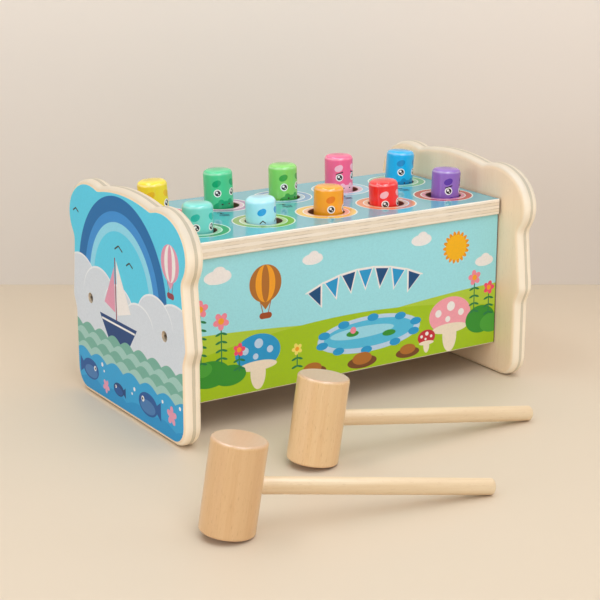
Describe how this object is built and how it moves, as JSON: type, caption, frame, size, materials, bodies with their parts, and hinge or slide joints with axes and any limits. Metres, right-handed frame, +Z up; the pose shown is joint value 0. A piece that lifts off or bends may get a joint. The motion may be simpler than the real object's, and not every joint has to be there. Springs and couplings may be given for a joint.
{
  "type": "pounding bench toy",
  "caption": "Wooden pounding bench: painted pegs in two rows pop up in pairs on hidden rockers between two contoured end plates; two wooden mallets lie beside it.",
  "frame": {"origin": "on the table, at the middle of the ground that the bench and its two mallets cover", "axes": "+X along the bench, away from the printed end plate; +Y from the front row of pegs to the back row; +Z up"},
  "size_m": [0.3304, 0.3202, 0.1533],
  "materials": {
    "plywood": "clear satin lacquer",
    "printed_end": "satin print on plywood",
    "printed_deck": "gloss print on plywood",
    "printed_panel": "satin print on plywood",
    "bare_plywood": "bare, sanded",
    "steel": "zinc plated",
    "turned_wood": "bare, turned",
    "rocker_wood": "bare, sanded",
    "beech_head": "clear satin lacquer",
    "beech_handle": "clear satin lacquer",
    "yellow_paint": "gloss paint",
    "dark_green_paint": "gloss paint",
    "light_green_paint": "gloss paint",
    "pink_paint": "gloss paint",
    "blue_paint": "gloss paint",
    "teal_paint": "gloss paint",
    "pale_blue_paint": "gloss paint",
    "orange_paint": "gloss paint",
    "red_paint": "gloss paint",
    "purple_paint": "gloss paint"
  },
  "bodies": {
    "bench": {"left_end_plate": "printed_end", "right_end_plate": "plywood", "deck": "printed_deck", "front_side_panel": "printed_panel", "back_side_panel": "printed_panel", "guide_board": "bare_plywood", "axle_rod": "steel", "middle_spacers": "turned_wood", "end_spacers": "turned_wood", "end_screws": "steel", "end_dowels": "turned_wood", "deck_dowels": "turned_wood"},
    "rocker_1": {"rocker_1": "rocker_wood"},
    "peg_back_1": {"peg_back_1": "yellow_paint", "peg_foot_back_1": "bare_plywood"},
    "peg_front_1": {"peg_front_1": "teal_paint", "peg_foot_front_1": "bare_plywood"},
    "rocker_2": {"rocker_2": "rocker_wood"},
    "peg_back_2": {"peg_back_2": "dark_green_paint", "peg_foot_back_2": "bare_plywood"},
    "peg_front_2": {"peg_front_2": "pale_blue_paint", "peg_foot_front_2": "bare_plywood"},
    "rocker_3": {"rocker_3": "rocker_wood"},
    "peg_back_3": {"peg_back_3": "light_green_paint", "peg_foot_back_3": "bare_plywood"},
    "peg_front_3": {"peg_front_3": "orange_paint", "peg_foot_front_3": "bare_plywood"},
    "rocker_4": {"rocker_4": "rocker_wood"},
    "peg_back_4": {"peg_back_4": "pink_paint", "peg_foot_back_4": "bare_plywood"},
    "peg_front_4": {"peg_front_4": "red_paint", "peg_foot_front_4": "bare_plywood"},
    "rocker_5": {"rocker_5": "rocker_wood"},
    "peg_back_5": {"peg_back_5": "blue_paint", "peg_foot_back_5": "bare_plywood"},
    "peg_front_5": {"peg_front_5": "purple_paint", "peg_foot_front_5": "bare_plywood"},
    "mallet_front": {"mallet_head_front": "beech_head", "mallet_handle_front": "beech_handle"},
    "mallet_rear": {"mallet_head_rear": "beech_head", "mallet_handle_rear": "beech_handle"}
  },
  "joints": [
    {"name": "rocker_1_pivot", "type": "hinge", "parent": "bench", "child": "rocker_1", "pos_m": [-0.07028, 0.07565, 0.04909], "axis": [1, 0, 0], "range_deg": [-24.9, 15.1]},
    {"name": "peg_back_1_slide", "type": "slide", "parent": "bench", "child": "peg_back_1", "axis": [-0.0675, 0, 0.9977], "range_m": [-0.01201, 0.00729]},
    {"name": "peg_front_1_slide", "type": "slide", "parent": "bench", "child": "peg_front_1", "axis": [0, 0, 1], "range_m": [-0.00727, 0.01199]},
    {"name": "rocker_2_pivot", "type": "hinge", "parent": "bench", "child": "rocker_2", "pos_m": [-0.02112, 0.07565, 0.04909], "axis": [1, 0, 0], "range_deg": [-29.4, 10.6]},
    {"name": "peg_back_2_slide", "type": "slide", "parent": "bench", "child": "peg_back_2", "axis": [-0.0338, 0, 0.9994], "range_m": [-0.01402, 0.00506]},
    {"name": "peg_front_2_slide", "type": "slide", "parent": "bench", "child": "peg_front_2", "axis": [-0.0338, 0, 0.9994], "range_m": [-0.00506, 0.01402]},
    {"name": "rocker_3_pivot", "type": "hinge", "parent": "bench", "child": "rocker_3", "pos_m": [0.02804, 0.07565, 0.04909], "axis": [1, 0, 0], "range_deg": [-25.9, 14.1]},
    {"name": "peg_back_3_slide", "type": "slide", "parent": "bench", "child": "peg_back_3", "axis": [-0.0159, 0, 0.9999], "range_m": [-0.01245, 0.00678]},
    {"name": "peg_front_3_slide", "type": "slide", "parent": "bench", "child": "peg_front_3", "axis": [0.0179, 0, 0.9998], "range_m": [-0.00678, 0.01245]},
    {"name": "rocker_4_pivot", "type": "hinge", "parent": "bench", "child": "rocker_4", "pos_m": [0.0772, 0.07565, 0.04909], "axis": [1, 0, 0], "range_deg": [-29.3, 10.7]},
    {"name": "peg_back_4_slide", "type": "slide", "parent": "bench", "child": "peg_back_4", "axis": [-0.0099, 0, 1], "range_m": [-0.01397, 0.00511]},
    {"name": "peg_front_4_slide", "type": "slide", "parent": "bench", "child": "peg_front_4", "axis": [-0.0635, 0, 0.998], "range_m": [-0.00511, 0.014]},
    {"name": "rocker_5_pivot", "type": "hinge", "parent": "bench", "child": "rocker_5", "pos_m": [0.12636, 0.07565, 0.04909], "axis": [1, 0, 0], "range_deg": [-23.9, 16.1]},
    {"name": "peg_back_5_slide", "type": "slide", "parent": "bench", "child": "peg_back_5", "axis": [0.0675, 0, 0.9977], "range_m": [-0.01155, 0.00778]},
    {"name": "peg_front_5_slide", "type": "slide", "parent": "bench", "child": "peg_front_5", "axis": [0.0378, 0, 0.9993], "range_m": [-0.00777, 0.01153]},
    {"name": "mallet_front_lift", "type": "slide", "parent": "bench", "child": "mallet_front", "axis": [0, 0, 1], "range_m": [0, 0.2]},
    {"name": "mallet_rear_lift", "type": "slide", "parent": "bench", "child": "mallet_rear", "axis": [0, 0, 1], "range_m": [0, 0.2]}
  ],
  "couplings": [
    {"joint": "peg_back_1_slide", "follows": "rocker_1_pivot", "m_per_rad": 0.027632},
    {"joint": "peg_front_1_slide", "follows": "rocker_1_pivot", "m_per_rad": -0.027569},
    {"joint": "peg_back_2_slide", "follows": "rocker_2_pivot", "m_per_rad": 0.027314},
    {"joint": "peg_front_2_slide", "follows": "rocker_2_pivot", "m_per_rad": -0.027314},
    {"joint": "peg_back_3_slide", "follows": "rocker_3_pivot", "m_per_rad": 0.027527},
    {"joint": "peg_front_3_slide", "follows": "rocker_3_pivot", "m_per_rad": -0.027528},
    {"joint": "peg_back_4_slide", "follows": "rocker_4_pivot", "m_per_rad": 0.027308},
    {"joint": "peg_front_4_slide", "follows": "rocker_4_pivot", "m_per_rad": -0.027362},
    {"joint": "peg_back_5_slide", "follows": "rocker_5_pivot", "m_per_rad": 0.027669},
    {"joint": "peg_front_5_slide", "follows": "rocker_5_pivot", "m_per_rad": -0.027626}
  ]
}
